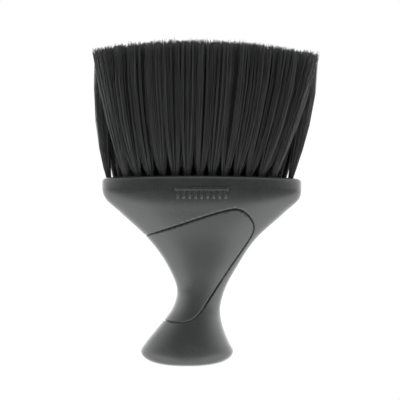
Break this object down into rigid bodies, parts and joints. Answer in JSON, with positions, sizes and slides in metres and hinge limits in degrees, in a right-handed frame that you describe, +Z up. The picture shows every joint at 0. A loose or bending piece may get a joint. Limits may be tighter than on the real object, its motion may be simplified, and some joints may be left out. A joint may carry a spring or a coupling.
{
  "type": "neck duster brush",
  "caption": "Neck duster with a waisted stand-up handle and a wide trimmed fan of soft black bristles for brushing hair clippings off the neck.",
  "frame": {"origin": "centre of the flat under the foot, where the brush stands", "axes": "+Z up through the handle to the bristle tips, +X along the width of the head towards its longer overhang, -Y towards the front, which carries the raised mark"},
  "size_m": [0.1124, 0.0346, 0.165],
  "materials": {
    "handle": "soft-touch lacquer over moulded ABS",
    "grip": "moulded thermoplastic elastomer, satin",
    "block": "moulded polypropylene",
    "bristle": "fine black nylon filament",
    "anchor": "flat nickel-silver wire"
  },
  "bodies": {
    "root": {"handle_front_shell": "handle", "handle_rear_shell": "handle", "grip_insert": "grip", "tuft_block": "block", "tuft_anchors_front": "anchor", "tuft_anchors_middle": "anchor", "tuft_anchors_rear": "anchor", "tuft_front_01": "bristle", "tuft_front_02": "bristle", "tuft_front_03": "bristle", "tuft_front_04": "bristle", "tuft_front_05": "bristle", "tuft_front_06": "bristle", "tuft_front_07": "bristle", "tuft_front_08": "bristle", "tuft_front_09": "bristle", "tuft_front_10": "bristle", "tuft_front_11": "bristle", "tuft_front_12": "bristle", "tuft_front_13": "bristle", "tuft_middle_01": "bristle", "tuft_middle_02": "bristle", "tuft_middle_03": "bristle", "tuft_middle_04": "bristle", "tuft_middle_05": "bristle", "tuft_middle_06": "bristle", "tuft_middle_07": "bristle", "tuft_middle_08": "bristle", "tuft_middle_09": "bristle", "tuft_middle_10": "bristle", "tuft_middle_11": "bristle", "tuft_middle_12": "bristle", "tuft_middle_13": "bristle", "tuft_middle_14": "bristle", "tuft_middle_15": "bristle", "tuft_middle_16": "bristle", "tuft_rear_01": "bristle", "tuft_rear_02": "bristle", "tuft_rear_03": "bristle", "tuft_rear_04": "bristle", "tuft_rear_05": "bristle", "tuft_rear_06": "bristle", "tuft_rear_07": "bristle", "tuft_rear_08": "bristle", "tuft_rear_09": "bristle", "tuft_rear_10": "bristle", "tuft_rear_11": "bristle", "tuft_rear_12": "bristle", "tuft_rear_13": "bristle", "tuft_rear_14": "bristle", "tuft_rear_15": "bristle"}
  },
  "joints": []
}
